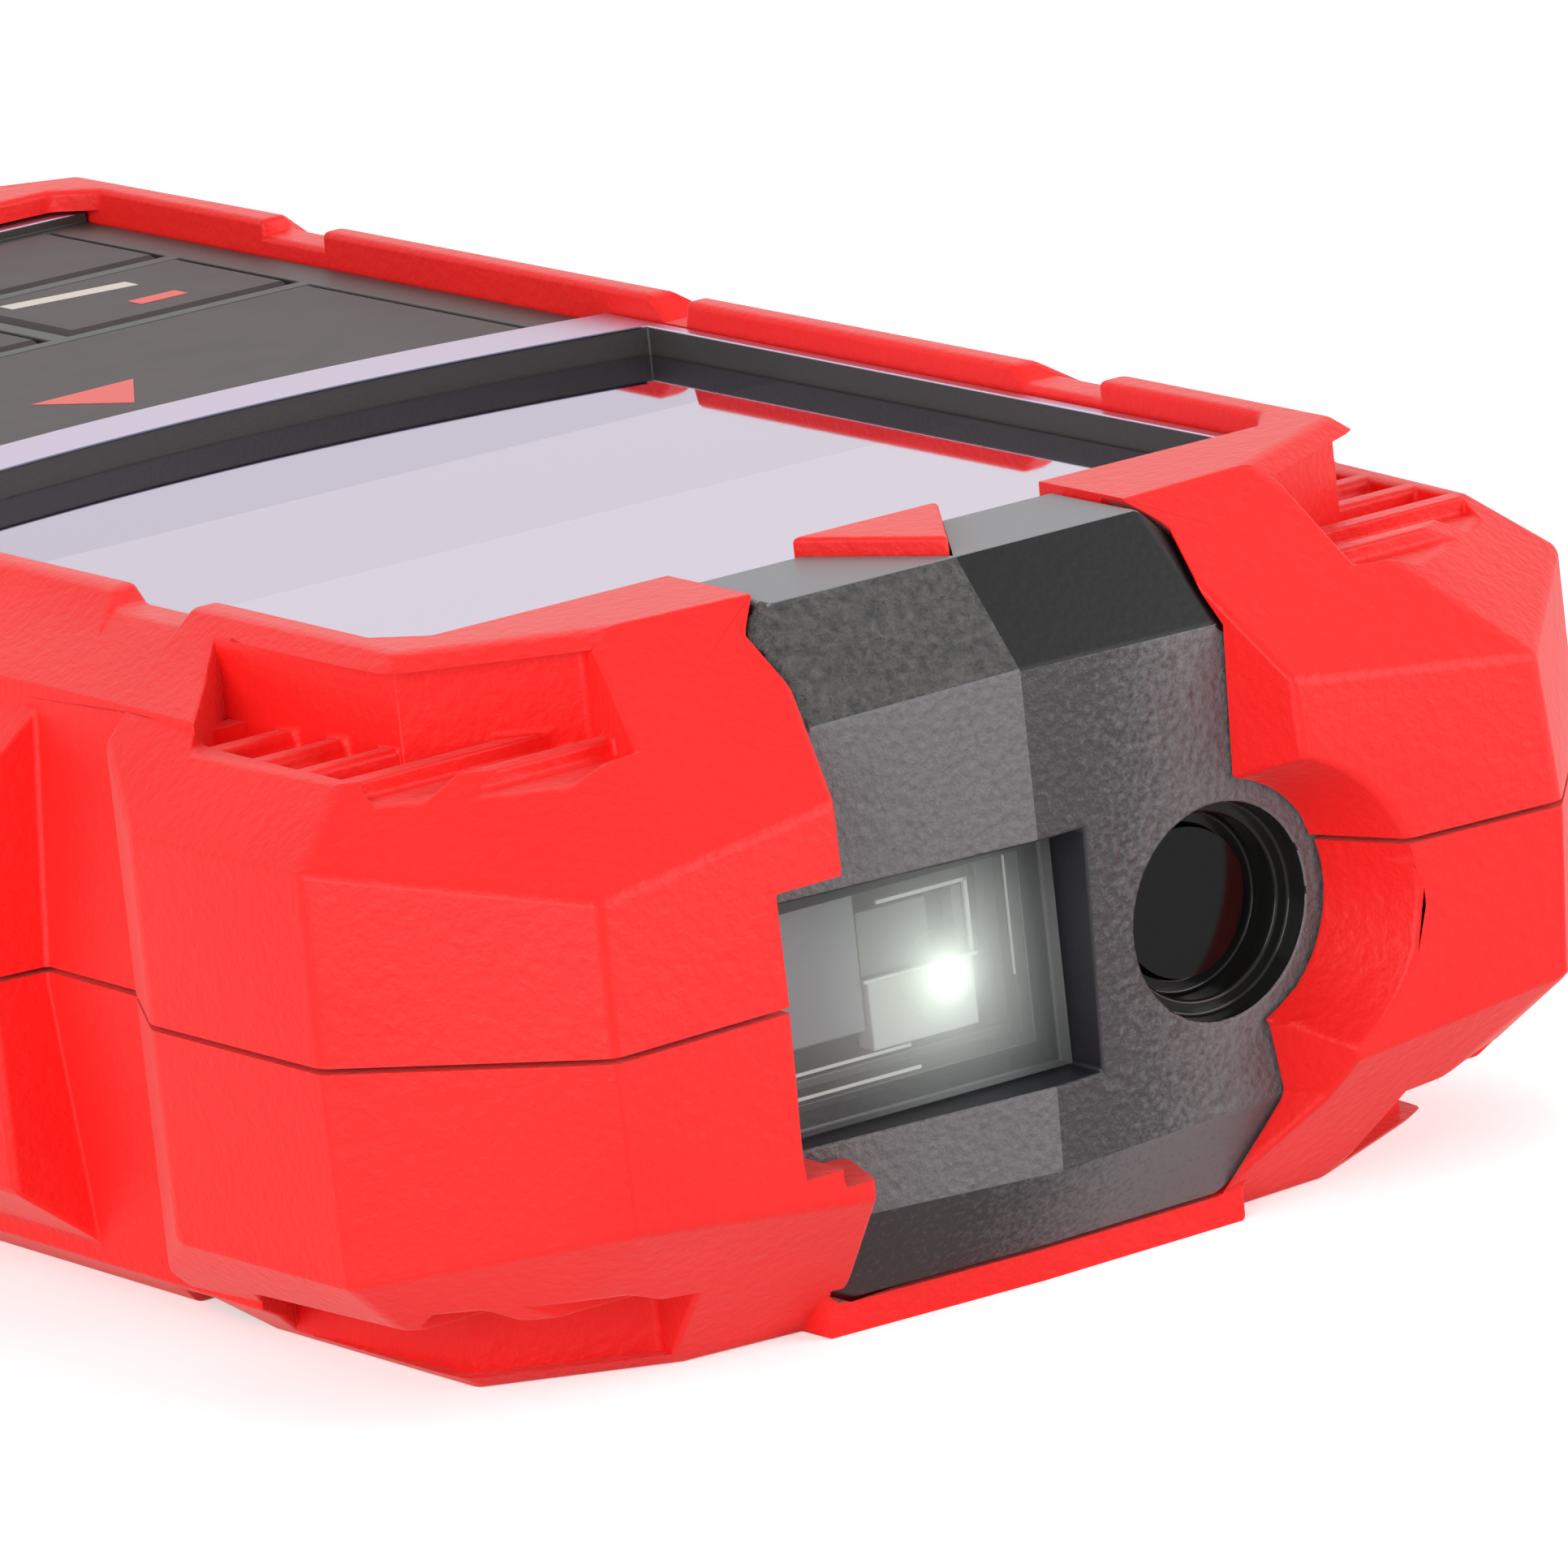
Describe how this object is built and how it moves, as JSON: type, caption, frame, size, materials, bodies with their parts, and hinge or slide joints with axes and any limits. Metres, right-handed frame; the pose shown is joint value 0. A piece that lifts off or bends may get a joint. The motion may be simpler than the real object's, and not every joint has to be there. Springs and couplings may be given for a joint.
{
  "type": "laser distance meter",
  "caption": "Handheld laser distance meter: keypad and display case in faceted two-part red armour, textured nose with laser and receiver window, sliding battery door.",
  "frame": {"origin": "centre of the body on the surface it lies on", "axes": "+X to the right when the display is read, -Y the way the beam leaves, +Z out of the display"},
  "size_m": [0.0652, 0.13, 0.0321],
  "materials": {
    "armour": "satin, fine grain",
    "shell": "fine grain",
    "seal": "matt",
    "nose": "coarse speckled grain",
    "mark": "smooth",
    "display": "clear, reflective",
    "panel": "smooth",
    "backlight": "smooth",
    "board": "solder mask",
    "chips": "moulded",
    "metal": "plated",
    "mat": "matt",
    "chassis": "moulded",
    "brass": "turned",
    "optic_glass": "polished",
    "lamp": "clear dome",
    "cells": "shrink sleeve",
    "door": "fine grain",
    "main_key": "fine grain",
    "keys": "fine grain"
  },
  "bodies": {
    "case": {"upper_armour": "armour", "lower_armour": "armour", "upper_shell": "shell", "lower_shell": "shell", "case_gasket": "seal", "nose_cover": "nose", "aim_mark": "mark", "display_window": "display", "lcd_panel": "panel", "backlight": "backlight", "main_board": "board", "board_chips": "chips", "dome_switches": "metal", "key_mat": "mat", "optics_chassis": "chassis", "laser_module": "brass", "laser_window": "optic_glass", "receiver_lens": "optic_glass", "receiver_window": "optic_glass", "detector_board": "board", "lamp_led": "lamp", "battery_cells": "cells", "battery_springs": "metal", "contact_plates": "metal", "tripod_bush": "brass", "case_screws": "metal", "buzzer": "chips"},
    "measure_key": {"measure_key": "main_key"},
    "function_key": {"function_key": "keys"},
    "unit_key": {"unit_key": "keys"},
    "camera_key": {"camera_key": "keys"},
    "minus_key": {"minus_key": "keys"},
    "power_key": {"power_key": "keys"},
    "plus_key": {"plus_key": "keys"},
    "battery_door": {"battery_door": "door"}
  },
  "joints": [
    {"name": "measure_key_press", "type": "slide", "parent": "case", "child": "measure_key", "axis": [0, 0, -1], "range_m": [0, 0.0006], "stiffness_N_per_m": 3000, "springref_m": -0.0003},
    {"name": "function_key_press", "type": "slide", "parent": "case", "child": "function_key", "axis": [0, 0, -1], "range_m": [0, 0.0006], "stiffness_N_per_m": 2500, "springref_m": -0.0003},
    {"name": "unit_key_press", "type": "slide", "parent": "case", "child": "unit_key", "axis": [0, 0, -1], "range_m": [0, 0.0006], "stiffness_N_per_m": 2500, "springref_m": -0.0003},
    {"name": "camera_key_press", "type": "slide", "parent": "case", "child": "camera_key", "axis": [0, 0, -1], "range_m": [0, 0.0006], "stiffness_N_per_m": 2500, "springref_m": -0.0003},
    {"name": "minus_key_press", "type": "slide", "parent": "case", "child": "minus_key", "axis": [0, 0, -1], "range_m": [0, 0.0006], "stiffness_N_per_m": 2500, "springref_m": -0.0003},
    {"name": "power_key_press", "type": "slide", "parent": "case", "child": "power_key", "axis": [0, 0, -1], "range_m": [0, 0.0006], "stiffness_N_per_m": 2500, "springref_m": -0.0003},
    {"name": "plus_key_press", "type": "slide", "parent": "case", "child": "plus_key", "axis": [0, 0, -1], "range_m": [0, 0.0006], "stiffness_N_per_m": 2500, "springref_m": -0.0003},
    {"name": "battery_door_slide", "type": "slide", "parent": "case", "child": "battery_door", "axis": [0, 1, 0], "range_m": [0, 0.06]}
  ]
}
